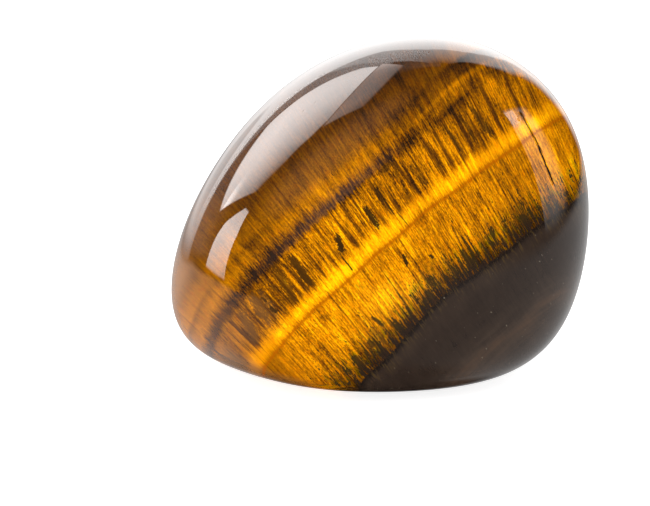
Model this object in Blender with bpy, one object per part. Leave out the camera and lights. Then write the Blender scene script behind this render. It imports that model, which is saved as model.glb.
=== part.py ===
"""Polished tigers eye: one loose tumbled stone, lying on the flat spot worn under it.

Units are metres and +Z is up. The banded front looks along -Y and the pointed end is at -X.
The origin is on the surface that the stone lies on, below the middle of its bounding box.

Tumbling wears a broken chip to a few broad, slightly domed faces that run into each other with
no edge between them. The stone is built in that way: each worn face has a direction and a
distance from the stone's heart, and one formula rounds them together.
"""
from math import cos, pi, radians, sin, tan
from typing import NamedTuple

import bmesh
import bpy
from mathutils import Vector

MM = 0.001


class WornFace(NamedTuple):
    """One broad face of the tumbled chip."""

    name: str
    turn: float       # degrees around Z from the front (-Y), positive towards +X
    lift: float       # degrees above the horizontal
    distance: float   # millimetres from the stone's heart to the face's plane


WORN_FACES = (
    WornFace("front", 12, 2, 10.9),
    WornFace("front brow", -30, 42, 12.9),
    WornFace("front right", 48, 12, 14.8),
    WornFace("front left", -48, -12, 15.6),
    WornFace("front foot", -2, -55, 15.8),
    WornFace("left flank", -100, 35, 12.9),
    WornFace("left crown", -125, 65, 14.0),
    WornFace("left shoulder", -93, 14, 16.3),
    WornFace("nose", -88, -15, 24.5),
    WornFace("left foot", -62, -53, 18.6),
    WornFace("crown", 146, 72, 15.4),
    WornFace("right crown", 107, 49, 16.4),
    WornFace("right brow", 92, 18, 19.8),
    WornFace("right flank", 88, -8, 15.9),
    WornFace("right foot", 72, -42, 16.3),
    WornFace("back", 170, -6, 10.7),
    WornFace("back crown", -165, 38, 12.6),
    WornFace("back left", -138, -12, 15.5),
    WornFace("back right", 132, 4, 16.5),
    WornFace("back foot", 178, -50, 13.6),
    WornFace("underside", 0, -90, 11.35),
)
ROUNDING = 6           # how sharply the worn faces turn into each other; a ball is 2
HEART_HEIGHT = 10.95   # millimetres from the flat spot underneath up to the stone's heart
FACES_PER_SIDE = 24    # squares along each side of the cube that the surface is drawn on
SNAP = 0.02            # millimetres within which a corner is taken to lie on the flat spot

STONE_COLOR = (0.40, 0.19, 0.02, 1.0)
STONE_ROUGHNESS = 0.08


def face_direction(face: WornFace) -> Vector:
    """Return the unit vector that a worn face looks along."""
    turn = radians(face.turn)
    lift = radians(face.lift)
    return Vector((sin(turn) * cos(lift), -cos(turn) * cos(lift), sin(lift)))


def stone_radius(direction: Vector, planes: list[tuple[Vector, float]]) -> float:
    """Return how far the surface is from the heart along a unit vector, in millimetres.

    Each face that looks the same way pulls the surface in towards its own plane. Their pulls are
    added as powers, so the nearest face rules and its neighbours only round it off.
    """
    pull = 0.0
    for normal, distance in planes:
        facing = max(0.0, direction.dot(normal))
        pull += (facing / distance) ** ROUNDING
    return pull ** (-1.0 / ROUNDING)


def even_direction(corner: Vector) -> Vector:
    """Turn a point of the 2 x 2 x 2 cube into a direction, with the squares evenly spread."""
    return Vector([tan(value * pi / 4) for value in corner]).normalized()


def build_mesh() -> bpy.types.Mesh:
    """Draw the rounded surface on a divided cube and cut the flat spot under it."""
    planes = [(face_direction(face), face.distance) for face in WORN_FACES]
    bm = bmesh.new()
    bmesh.ops.create_cube(bm, size=2.0)
    bmesh.ops.subdivide_edges(bm, edges=bm.edges, cuts=FACES_PER_SIDE - 1, use_grid_fill=True)
    for vertex in bm.verts:
        direction = even_direction(vertex.co)
        vertex.co = direction * stone_radius(direction, planes)

    everything = bm.verts[:] + bm.edges[:] + bm.faces[:]
    flat_height = Vector((0.0, 0.0, -HEART_HEIGHT))
    cut = bmesh.ops.bisect_plane(
        bm,
        geom=everything,
        dist=SNAP,
        plane_co=flat_height,
        plane_no=(0, 0, -1),
        use_snap_center=True,
        clear_outer=True,
    )
    rim = [item for item in cut["geom_cut"] if isinstance(item, bmesh.types.BMEdge)]
    flat = bmesh.ops.contextual_create(bm, geom=rim)["faces"]
    bmesh.ops.recalc_face_normals(bm, faces=bm.faces)
    for face in bm.faces:
        face.smooth = face not in flat
    for edge in rim:
        edge.smooth = False

    middle_x = (min(v.co.x for v in bm.verts) + max(v.co.x for v in bm.verts)) / 2
    middle_y = (min(v.co.y for v in bm.verts) + max(v.co.y for v in bm.verts)) / 2
    bmesh.ops.translate(bm, verts=bm.verts, vec=(-middle_x, -middle_y, HEART_HEIGHT))
    bmesh.ops.scale(bm, verts=bm.verts, vec=(MM, MM, MM))

    mesh = bpy.data.meshes.new("stone")
    bm.to_mesh(mesh)
    bm.free()
    return mesh


def stone_material() -> bpy.types.Material:
    """Return the plain golden brown of the polished quartz."""
    material = bpy.data.materials.new("polished_tigers_eye")
    material.use_nodes = True
    shader = material.node_tree.nodes["Principled BSDF"]
    shader.inputs["Base Color"].default_value = STONE_COLOR
    shader.inputs["Roughness"].default_value = STONE_ROUGHNESS
    shader.inputs["Metallic"].default_value = 0.0
    return material


def main() -> None:
    """Clear the scene and build the stone."""
    for old in list(bpy.data.objects):
        bpy.data.objects.remove(old, do_unlink=True)
    mesh = build_mesh()
    mesh.materials.append(stone_material())
    stone = bpy.data.objects.new("stone", mesh)
    bpy.context.scene.collection.objects.link(stone)


main()
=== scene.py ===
"""A polished tigers eye on a white table under soft studio light.

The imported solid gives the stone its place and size. Here it gets a mirror-smooth surface, and a
finish that is worked out in the depth of the stone: flat layers of golden fibres between dull
brown and blue-black ones, so the bands and the streaks run on round every side.
"""
import logging
from collections.abc import Callable
from dataclasses import dataclass, field
from enum import Enum
from math import cos, inf, pi, radians, sin

import bpy
from mathutils import Matrix, Vector, geometry


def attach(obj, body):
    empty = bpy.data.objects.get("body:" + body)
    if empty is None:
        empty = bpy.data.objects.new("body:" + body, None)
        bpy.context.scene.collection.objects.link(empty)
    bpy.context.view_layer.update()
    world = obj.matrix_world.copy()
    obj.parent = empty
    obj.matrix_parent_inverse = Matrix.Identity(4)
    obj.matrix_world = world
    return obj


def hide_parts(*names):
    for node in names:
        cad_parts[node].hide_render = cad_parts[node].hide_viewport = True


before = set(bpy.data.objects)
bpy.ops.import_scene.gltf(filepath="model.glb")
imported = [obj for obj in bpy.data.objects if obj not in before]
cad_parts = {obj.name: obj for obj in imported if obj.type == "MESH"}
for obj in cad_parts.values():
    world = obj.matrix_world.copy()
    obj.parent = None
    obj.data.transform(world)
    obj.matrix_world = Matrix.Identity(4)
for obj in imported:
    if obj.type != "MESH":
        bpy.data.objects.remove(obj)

LOG = logging.getLogger("tigers_eye")
MM = 0.001
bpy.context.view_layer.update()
WHITE = (1.0, 1.0, 1.0, 1.0)
LEAST = 0.001  # stands in for nothing where a number is divided by it
STREAK_ROUGHNESS = 0.6
STREAK_GAIN = 4.0  # brings the noise to about -1 to 1
LENS_TEAR = 0.45  # how far the fibres tear into a dark mark
LENS_EDGE = (0.65, 1.2, 1.0, 0.0)  # where it fades, in shares of its size

Socket = bpy.types.NodeSocket
Feed = Socket | float | tuple[float, ...]
Rgba = tuple[float, float, float, float]
Stops = tuple[tuple[float, float], ...]
Places = tuple[tuple[float, float, float], ...]
Span = tuple[float, ...]  # where a fade starts and ends, then its low and high when not 0 and 1


def srgb(red: int, green: int, blue: int) -> Rgba:
    """Turn a colour as a painter's chart gives it, 0 to 255, into the renderer's linear one.

    Args:
        red: its red, 0 to 255.
        green: its green, 0 to 255.
        blue: its blue, 0 to 255.

    Returns:
        The linear colour, fully opaque.
    """
    parts = []
    for value in (red, green, blue):
        share = value / 255
        parts.append(share / 12.92 if share <= 0.04045 else ((share + 0.055) / 1.055) ** 2.4)
    return (*parts, 1.0)


def toward(azimuth: float, lift: float) -> Vector:
    """Return the unit vector from the stone to a place in the studio.

    Args:
        azimuth: degrees round from the camera's side (-Y), positive towards +X.
        lift: degrees above the table.

    Returns:
        The direction, one unit long.
    """
    turn, rise = radians(azimuth), radians(lift)
    return Vector((sin(turn) * cos(rise), -cos(turn) * cos(rise), sin(rise)))


# --- shader nodes ---------------------------------------------------------------------------


class Blend(Enum):
    """The ways two colours are laid over each other."""

    MIX = "MIX"
    MULTIPLY = "MULTIPLY"


class Graph:
    """A hand that adds nodes to one shader tree and joins them."""

    def __init__(self, tree: bpy.types.NodeTree) -> None:
        """Keep the tree to work in."""
        self.tree = tree

    def node(self, kind: str, **settings: object) -> bpy.types.Node:
        """Add a node of a kind and set its own properties.

        Args:
            kind: Blender's name for the kind.
            settings: its own properties by their names.

        Returns:
            The new node.
        """
        made = self.tree.nodes.new(kind)
        for name, value in settings.items():
            setattr(made, name, value)
        return made

    def feed(self, socket: Socket, value: Feed) -> None:
        """Join a socket to another one, or set it to a number or colour.

        Args:
            socket: the input to feed.
            value: an output, a number or a colour.
        """
        if isinstance(value, Socket):
            self.tree.links.new(value, socket)
        else:
            socket.default_value = value

    def fill(self, made: bpy.types.Node, values: dict[str, Feed]) -> None:
        """Feed a node's inputs by their names."""
        for label, value in values.items():
            self.feed(made.inputs[label], value)

    def math(self, operation: str, first: Feed, second: Feed = 0.0) -> Socket:
        """Add one step of arithmetic.

        Args:
            operation: Blender's name for the step.
            first: the first number.
            second: the second number, where the step has one.

        Returns:
            The result.
        """
        made = self.node("ShaderNodeMath", operation=operation)
        self.feed(made.inputs[0], first)
        self.feed(made.inputs[1], second)
        return made.outputs[0]

    def times(self, first: Feed, second: Feed) -> Socket:
        """Multiply two numbers."""
        return self.math("MULTIPLY", first, second)

    def plus(self, first: Feed, second: Feed, share: Feed = 1.0) -> Socket:
        """Add the second number, or a share of it, to the first."""
        return self.math("ADD", first, second if share == 1.0 else self.times(second, share))

    def minus(self, first: Feed, second: Feed, share: Feed = 1.0) -> Socket:
        """Take the second number, or a share of it, from the first."""
        return self.math("SUBTRACT", first, second if share == 1.0 else self.times(second, share))

    def over(self, first: Feed, second: Feed) -> Socket:
        """Divide the first number by the second."""
        return self.math("DIVIDE", first, second)

    def power(self, value: Feed, exponent: float) -> Socket:
        """Raise a number to a power."""
        return self.math("POWER", value, exponent)

    def most(self, first: Feed, second: Feed) -> Socket:
        """Return the larger of two numbers."""
        return self.math("MAXIMUM", first, second)

    def total(self, *parts: tuple[Socket, float]) -> Socket:
        """Add up numbers, each by its share.

        Args:
            parts: pairs of a number and its share.

        Returns:
            The sum.
        """
        found: Feed = 0.0
        for value, share in parts:
            found = self.plus(found, value, share)
        return found

    def fade(self, value: Feed, start: float, end: float, low: float = 0.0, high: float = 1.0) -> Socket:
        """Ease from low to high while a value goes from start to end, and hold outside them.

        Args:
            value: what is eased.
            start: where the easing starts.
            end: where it ends, which may be lower.
            low: what holds before the start.
            high: what holds past the end.

        Returns:
            The eased number.
        """
        made = self.node("ShaderNodeMapRange", interpolation_type="SMOOTHSTEP")
        for socket, given in zip(made.inputs, (value, start, end, low, high)):
            self.feed(socket, given)
        return made.outputs[0]

    def within(self, value: Socket, rising: Span, falling: Span) -> Socket:
        """Return 1 between a rising and a falling fade of a value, and 0 outside them."""
        return self.times(self.fade(value, *rising), self.fade(value, *falling))

    def split(self, vector: Socket) -> tuple[Socket, Socket, Socket]:
        """Take a vector apart.

        Args:
            vector: the vector.

        Returns:
            Its three parts.
        """
        made = self.node("ShaderNodeSeparateXYZ")
        self.feed(made.inputs[0], vector)
        return made.outputs[0], made.outputs[1], made.outputs[2]

    def join(self, x: Feed, y: Feed, z: Feed) -> Socket:
        """Put a vector together.

        Args:
            x: its first part.
            y: its second part.
            z: its third part.

        Returns:
            The vector.
        """
        made = self.node("ShaderNodeCombineXYZ")
        for socket, given in zip(made.inputs, (x, y, z)):
            self.feed(socket, given)
        return made.outputs[0]

    def noise(self, place: Socket, dimensions: str = "3D", **settings: Feed) -> Socket:
        """Read smooth noise at a place.

        Args:
            place: where the noise is read.
            dimensions: 2D or 3D.
            settings: the noise node's own inputs by their names.

        Returns:
            The noise, from 0 to 1.
        """
        made = self.node("ShaderNodeTexNoise", noise_dimensions=dimensions)
        self.fill(made, {"Vector": place, **settings})
        return made.outputs["Fac"]

    def group(self, name: str, values: dict[str, Feed]) -> Socket:
        """Place a node group and feed its inputs.

        Args:
            name: what the group is called.
            values: what its inputs get, by their names.

        Returns:
            The group's output.
        """
        made = self.node("ShaderNodeGroup", node_tree=bpy.data.node_groups[name])
        self.fill(made, values)
        return made.outputs[0]

    def blend(self, share: Feed, under: Feed, over: Feed, how: Blend = Blend.MIX) -> Socket:
        """Lay one colour over another by a share.

        Args:
            share: how much of the upper colour shows, 0 to 1.
            under: the lower colour.
            over: the upper colour.
            how: the way they are laid over each other.

        Returns:
            The colour that results.
        """
        made = self.node("ShaderNodeMix", data_type="RGBA", blend_type=how.value, clamp_factor=True)
        self.feed(made.inputs[0], share)
        self.feed(made.inputs[6], under)
        self.feed(made.inputs[7], over)
        return made.outputs[2]

    def ramp(self, value: Feed, stops: list[tuple[float, Rgba]]) -> Socket:
        """Read a colour from a list of stops, from 0 to 1.

        Args:
            value: what is looked up.
            stops: pairs of a place, rising, and its colour.

        Returns:
            The colour at the value.
        """
        made = self.node("ShaderNodeValToRGB")
        self.feed(made.inputs[0], value)
        elements = made.color_ramp.elements
        while len(elements) < len(stops):
            elements.new(1.0)
        for element, (place, colour) in zip(elements, stops):
            element.position = place
            element.color = colour
        return made.outputs[0]

    def profile(self, value: Feed, stops: Stops) -> Socket:
        """Read a number from stops.

        Args:
            value: what is looked up.
            stops: pairs of a value, rising, and the number that holds there.

        Returns:
            The number between the nearest two stops.
        """
        start, end = stops[0][0], stops[-1][0]
        low = min(number for _, number in stops)
        rise = max(max(number for _, number in stops) - low, LEAST)
        made = self.node("ShaderNodeMapRange")
        for socket, given in zip(made.inputs, (value, start, end, 0.0, 1.0)):
            self.feed(socket, given)
        greys = []
        for place, number in stops:
            tone = (number - low) / rise
            greys.append(((place - start) / (end - start), (tone, tone, tone, 1.0)))
        return self.plus(self.times(self.ramp(made.outputs[0], greys), rise), low)


def new_material(name: str) -> tuple[bpy.types.Material, Graph]:
    """Start a material whose nodes are still to be set.

    Args:
        name: what the material is called.

    Returns:
        The material, and a Graph on its nodes.
    """
    material = bpy.data.materials.new(name)
    material.use_nodes = True
    return material, Graph(material.node_tree)


def new_group(
    name: str, inputs: dict[str, float | None], output: str
) -> tuple[Graph, dict[str, Socket], Socket]:
    """Start a shader node group.

    Args:
        name: what the group is called.
        inputs: the default of each input by its name, or None for a vector.
        output: the name of its one number.

    Returns:
        A Graph on the group, its input sockets by name, and the socket for its result.
    """
    tree = bpy.data.node_groups.new(name, "ShaderNodeTree")
    for label, default in inputs.items():
        kind = "NodeSocketVector" if default is None else "NodeSocketFloat"
        socket = tree.interface.new_socket(label, in_out="INPUT", socket_type=kind)
        if default is not None:
            socket.default_value = default
    tree.interface.new_socket(output, in_out="OUTPUT", socket_type="NodeSocketFloat")
    graph = Graph(tree)
    entry = graph.node("NodeGroupInput")
    given = {label: entry.outputs[label] for label in inputs}
    return graph, given, graph.node("NodeGroupOutput").inputs[output]


def make_streak_group() -> None:
    """Make the fibre streaks: noise drawn out along the fibres, from about -1 to 1.

    Front and Side are the two flat maps of the fibres, in millimetres across and along, and Turned
    says how far a face looks to the side. Across and Along say how often the streaks change in a
    millimetre, and Shift moves them to a fresh stretch, so that two sets of streaks differ.
    """
    graph, given, result = new_group(
        "fibre_streaks",
        {
            "Front": None,
            "Side": None,
            "Turned": 0.0,
            "Across": 3.0,
            "Along": 0.2,
            "Detail": 2.0,
            "Shift": 0.0,
        },
        "Streaks",
    )
    stretch = graph.join(given["Across"], given["Along"], 0.0)
    seen = []
    for label in ("Front", "Side"):
        drawn = graph.node("ShaderNodeVectorMath", operation="MULTIPLY_ADD")
        for socket, value in zip(drawn.inputs, (given[label], stretch, given["Shift"])):
            graph.feed(socket, value)
        place = drawn.outputs[0]
        seen.append(graph.noise(place, "2D", Scale=1.0, Detail=given["Detail"], Roughness=STREAK_ROUGHNESS))
    joined = graph.node("ShaderNodeMix")
    graph.feed(joined.inputs[0], given["Turned"])
    graph.feed(joined.inputs[2], seen[0])
    graph.feed(joined.inputs[3], seen[1])
    centred = graph.minus(joined.outputs[0], 0.5)
    # half of each map together would look flat, so the contrast is given back
    flank_part = graph.power(given["Turned"], 2.0)
    front_part = graph.power(graph.minus(1.0, given["Turned"]), 2.0)
    flatness = graph.math("SQRT", graph.plus(flank_part, front_part))
    graph.feed(result, graph.times(graph.over(centred, flatness), STREAK_GAIN))


def make_lens_group() -> None:
    """Make one dark lens or broken column between the fibres, torn where it meets them."""
    graph, given, result = new_group(
        "dark_lens",
        {
            "Layers": None,
            "Torn": 0.0,
            "Sideways": 0.0,
            "Height": 0.0,
            "Half Width": 0.2,
            "Half Length": 1.0,
            "Lean": 0.0,
        },
        "Mask",
    )
    side, _, height = graph.split(given["Layers"])
    rise = graph.minus(height, given["Height"])
    leaned = graph.minus(side, rise, given["Lean"])
    across = graph.over(graph.minus(leaned, given["Sideways"]), given["Half Width"])
    along = graph.over(rise, given["Half Length"])
    reach = graph.math("SQRT", graph.plus(graph.power(across, 2.0), graph.power(along, 4.0)))
    torn = graph.plus(reach, given["Torn"], LENS_TEAR)
    graph.feed(result, graph.fade(torn, *LENS_EDGE))


# --- the stone ------------------------------------------------------------------------------


@dataclass(frozen=True)
class DarkLens:
    """A dark lens, column or spot between the fibres of the front, in millimetres.

    Sideways runs along the bands to the upper right and height runs up through the layers, both
    from the stone's heart.
    """

    sideways: float
    height: float
    half_width: float
    half_length: float
    lean: float = 0.0
    strength: float = 1.0


def lenses(*rows: tuple[float, ...]) -> tuple[DarkLens, ...]:
    """Make dark lenses from rows of their fields, in order."""
    return tuple(DarkLens(*row) for row in rows)


@dataclass(frozen=True)
class Streaks:
    """One set of fibre streaks: how often they change across and along, per millimetre."""

    across: float
    along: float
    shift: float
    detail: float = 2.0


@dataclass(frozen=True)
class Weave:
    """A shaded point's place in the layers, the flat maps of its fibres, and how it is turned."""

    layers: Socket
    front: Socket
    flank: Socket
    turned: Socket

    def streaks(self, graph: Graph, kind: Streaks) -> Socket:
        """Place one set of fibre streaks.

        Args:
            graph: the nodes to add to.
            kind: how often the streaks change, and which stretch of them is seen.

        Returns:
            The streaks, from about -1 to 1.
        """
        values = {
            "Front": self.front,
            "Side": self.flank,
            "Turned": self.turned,
            "Across": kind.across,
            "Along": kind.along,
            "Detail": kind.detail,
            "Shift": kind.shift,
        }
        return graph.group("fibre_streaks", values)


@dataclass(frozen=True)
class FineStreaks:
    """The finest streaks at a shaded point, which also make every edge ragged."""

    grain: Socket
    hair: Socket
    strand: Socket


@dataclass(frozen=True)
class Point:
    """What the finish knows of a shaded point.

    Side runs along the bands, inward into the stone, and height up through the layers. Settled is
    the height through layers that sag, torn is that with ragged ends of fibres, and rise is how far
    the point lies above the blue-black layer.
    """

    weave: Weave
    side: Socket
    inward: Socket
    height: Socket
    settled: Socket
    torn: Socket
    rise: Socket
    fine: FineStreaks


@dataclass(frozen=True)
class Tones:
    """The finish's colours beside its scale of gold. A veil's colour multiplies what it covers."""

    warm_veil: Rgba = srgb(255, 222, 140)
    green_veil: Rgba = srgb(240, 252, 150)
    olive_veil: Rgba = srgb(190, 236, 110)
    dusk_veil: Rgba = srgb(122, 126, 92)
    smoke: Rgba = srgb(76, 58, 54)
    upper_brown: Rgba = srgb(86, 52, 34)
    column: Rgba = srgb(80, 48, 10)
    milky_column: Rgba = srgb(104, 68, 30)
    milk: Rgba = srgb(184, 126, 72)
    milky_rim: Rgba = srgb(120, 84, 48)
    seam: Rgba = srgb(168, 84, 2)
    shade_low: Rgba = srgb(36, 27, 23)
    shade_middle: Rgba = srgb(50, 39, 17)
    shade_high: Rgba = srgb(52, 35, 13)
    dark_layer: tuple[tuple[float, Rgba], ...] = (
        (0.0, srgb(30, 23, 20)), (0.45, srgb(58, 46, 38)), (1.0, srgb(82, 60, 44)),
    )
    sunken_ends: Rgba = srgb(84, 66, 34)
    speck: Rgba = srgb(150, 138, 120)
    # the crack's dark brown is painted shade in its groove
    crack: Rgba = srgb(44, 24, 12)


@dataclass(frozen=True)
class TigersEye:
    """The banded golden-brown quartz, with its layers measured in millimetres from the heart.

    The stops are pairs of a place and a number. A place is a height through the layers, or a way
    sideways along them, and a number is how golden a layer is, how strong or how long a streak is,
    or a change of those around a half. Fades of the height, the side and so on are kept as spans.
    """

    name: str = "polished_tigers_eye"
    heart: Vector = field(default_factory=lambda: Vector((0.30, 0.33, 10.95)))
    up_through_layers: Vector = field(default_factory=lambda: Vector((-0.638, 0.399, 0.658)))
    along_bands: Vector = field(default_factory=lambda: Vector((0.757, 0.169, 0.631)))
    fibre_lean_sideways: float = 0.11
    fibre_lean_inward: float = 0.35
    fan: float = 0.015
    seam_height: float = -3.61
    dark_layer_lowest: float = -9.3
    coat_ior: float = 1.54
    coat_roughness: float = 0.015
    base_roughness: float = 0.42
    # sets of streaks, from the finest to the broadest, then those for special marks
    grain: Streaks = Streaks(11.0, 6.0, 151.0, 1.0)
    hair: Streaks = Streaks(9.0, 1.5, 3.0)
    line: Streaks = Streaks(6.5, 0.22, 171.0, 1.0)
    strand: Streaks = Streaks(2.9, 0.60, 11.0)
    bundle: Streaks = Streaks(0.9, 0.22, 29.0)
    patch: Streaks = Streaks(0.6, 0.55, 113.0)
    tear: Streaks = Streaks(4.0, 0.05, 47.0, 3.0)
    column: Streaks = Streaks(2.1, 0.12, 61.0)
    fleck: Streaks = Streaks(3.2, 1.0, 131.0)
    spike: Streaks = Streaks(1.5, 0.14, 71.0, 3.0)
    thread: Streaks = Streaks(6.0, 0.20, 83.0, 1.0)
    tinge: Streaks = Streaks(4.0, 1.4, 97.0)
    speck: Streaks = Streaks(4.5, 3.4, 191.0, 1.0)
    tones: Tones = Tones()
    # the scale of gold, from the darkest fibres to the bright stripe. Its bright end is partly the fibres'
    # own gold and partly their silky sheen under this light, which is painted sheen
    palette: tuple[tuple[float, tuple[int, int, int]], ...] = (
        (0.00, (38, 24, 14)),
        (0.15, (84, 47, 12)),
        (0.30, (125, 74, 7)),
        (0.45, (166, 100, 5)),
        (0.60, (205, 126, 4)),
        (0.75, (234, 149, 5)),
        (0.88, (252, 174, 6)),
        (1.00, (255, 206, 8)),
    )
    # how golden each layer is, how strongly its fibres show, and how far their ends are torn. The glow of
    # the bright stripe's fibres is partly painted sheen
    levels: Stops = (
        (-9.0, 0.51), (-7.5, 0.56), (-6.2, 0.63), (-4.4, 0.58), (-4.0, 0.62), (-3.7, 0.58), (-3.5, 0.65),
        (-3.3, 0.82), (-3.1, 0.88), (-2.9, 0.86), (-2.7, 0.77), (-2.5, 0.65), (-2.2, 0.53), (-1.8, 0.46),
        (-0.2, 0.49), (0.15, 0.43), (0.35, 0.29), (0.55, 0.20), (0.80, 0.17), (1.05, 0.29), (1.4, 0.44),
        (1.7, 0.48), (2.1, 0.445), (2.5, 0.34), (3.0, 0.32), (3.6, 0.31), (4.2, 0.23), (5.0, 0.16),
        (5.8, 0.195), (7.5, 0.18),
    )
    strengths: Stops = (
        (-8.8, 0.34), (-6.0, 0.31), (-3.9, 0.30), (-3.4, 0.19), (-2.8, 0.21), (-2.3, 0.33), (0.1, 0.34),
        (0.6, 0.25), (1.3, 0.19), (2.4, 0.16), (3.2, 0.10), (5.0, 0.08), (8.0, 0.06),
    )
    tears: Stops = (
        (-8.8, 0.05), (-7.8, 0.25), (-4.2, 0.10), (-3.7, 0.03), (-3.3, 0.08), (-2.6, 0.28), (-1.5, 0.40),
        (-0.2, 0.24), (0.4, 0.24), (0.8, 0.24), (1.3, 0.28), (3.0, 0.40), (5.0, 0.60),
    )
    # how each run of layers brightens or darkens along the bands, around a half. About 10 to 13 mm along on
    # the right, the gold is raised where the right window shows in the stone: partly the layers' own change
    # and partly a painted golden sheen
    low_change: Stops = (
        (-13.5, 0.31), (-12.0, 0.34), (-10.5, 0.46), (-9.0, 0.50), (-6.5, 0.535), (-4.5, 0.585),
        (-2.5, 0.56), (-0.5, 0.475), (2.5, 0.425), (5.5, 0.47), (8.5, 0.395), (9.5, 0.35), (10.3, 0.43),
        (11.5, 0.60), (12.5, 0.57), (13.5, 0.40),
    )
    row_change: Stops = (
        (-13.0, 0.44), (-11.0, 0.39), (-9.5, 0.37), (-8.0, 0.43), (-6.5, 0.54), (-5.0, 0.62),
        (-2.5, 0.60), (0.0, 0.50), (2.5, 0.44), (4.5, 0.48), (5.5, 0.50), (6.8, 0.46), (8.5, 0.30),
        (9.5, 0.36), (10.5, 0.51), (11.5, 0.58), (12.5, 0.47), (13.5, 0.47),
    )
    line_change: Stops = (
        (-15.0, 0.55), (-12.0, 0.46), (-9.5, 0.37), (-6.5, 0.38), (-3.5, 0.57), (-0.5, 0.585),
        (2.5, 0.47), (5.5, 0.39), (8.5, 0.55), (9.5, 0.59), (10.5, 0.51), (11.5, 0.47), (12.5, 0.33),
        (14.0, 0.48),
    )
    ridge_change: Stops = (
        (-13.5, 0.50), (-12.0, 0.52), (-9.5, 0.42), (-6.5, 0.41), (-3.5, 0.58), (-0.5, 0.565),
        (2.5, 0.455), (5.5, 0.30), (8.5, 0.33), (9.5, 0.26), (10.5, 0.20), (11.5, 0.16), (14.0, 0.25),
    )
    high_change: Stops = (
        (-15.0, 0.68), (-12.0, 0.57), (-9.5, 0.60), (-7.0, 0.50), (-4.5, 0.50), (0.5, 0.49), (2.0, 0.46),
        (4.5, 0.40), (6.0, 0.38), (8.0, 0.40), (9.5, 0.40), (11.0, 0.47), (14.0, 0.48),
    )
    # how far the layers sag along the bands
    sag: Stops = (
        (-2.0, 0.0), (-0.5, 0.06), (1.2, 0.03), (2.5, -0.03), (4.0, 0.06), (5.5, 0.15), (8.5, 0.26),
        (12.5, 0.26), (14.5, -0.1),
    )
    # how strong a spike must be to reach this high above the blue-black layer
    spike_heights: Stops = (
        (0.0, -0.72), (0.35, -0.36), (0.75, -0.18), (1.15, -0.06), (1.55, 0.09), (1.95, 0.32),
        (2.4, 0.60), (3.0, 1.0), (5.0, 1.6),
    )
    # how much shorter the spikes are along the bands
    spike_change: Stops = (
        (-9.5, 0.46), (-8.0, 0.43), (-6.5, 0.24), (-5.0, 0.36), (-3.5, 0.45), (-2.2, 0.47), (-0.5, 0.52),
        (1.1, 0.38), (2.5, 0.20), (4.0, 0.32), (5.5, 0.40), (7.0, 0.33), (8.5, 0.31), (9.5, 0.75),
        (10.5, 1.35), (11.5, 1.15), (12.5, 1.00),
    )
    # how high the blue-black layer's top lies along the bands, above its lowest
    dark_layer_tops: Stops = (
        (-12.0, 0.35), (-8.3, 0.56), (-7.0, 0.46), (-5.8, 0.44), (-4.6, 0.57), (-3.4, 0.72), (-2.2, 0.85),
        (-0.3, 1.00), (1.1, 0.91), (2.0, 0.78), (3.8, 0.72), (5.4, 0.66), (7.0, 0.74), (8.6, 0.66),
        (10.3, 0.68), (11.3, 0.92), (12.0, 1.20), (13.5, 1.45),
    )
    # where dark columns, flecks, threads, smoke and plain brown show through the layers
    row_of_columns: Stops = ((-2.7, 0.0), (-2.2, 1.0), (0.1, 1.0), (0.45, 0.0))
    flecks_seen: Stops = (
        (-8.7, 0.6), (-3.9, 0.45), (-3.6, 0.15), (-2.7, 0.15), (-2.3, 0.6), (0.4, 0.6), (1.0, 0.3),
        (4.0, 0.15),
    )
    threads_seen: Stops = (
        (-8.7, 1.0), (-3.8, 0.9), (-3.5, 0.4), (-2.6, 0.5), (-2.2, 0.9), (0.3, 0.8), (1.0, 0.4),
        (3.0, 0.5), (6.0, 0.3),
    )
    smoke: Stops = (
        (0.35, 0.0), (0.52, 0.45), (0.80, 0.60), (1.0, 0.42), (1.25, 0.20), (1.6, 0.08), (2.0, 0.0),
    )
    smoke_sideways: Stops = (
        (-14.0, 0.3), (-10.0, 0.15), (-5.5, 0.55), (-3.0, 0.9), (-0.5, 0.9), (2.0, 0.45), (4.5, 0.0),
    )
    upper_brown: Stops = ((4.0, 0.0), (6.0, 0.12), (9.0, 0.25))
    # how light the blue-black layer is, and where its faint brown band lies
    dark_layer: Stops = (
        (-14.2, 0.24), (-13.4, 0.36), (-12.9, 0.54), (-12.5, 0.54), (-12.0, 0.32), (-11.2, 0.21),
        (-10.0, 0.20), (-9.4, 0.30), (-9.0, 0.30),
    )
    brown_band: Stops = ((-14.0, 0.2), (-13.3, 1.0), (-12.3, 1.0), (-11.6, 0.1))
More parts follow.
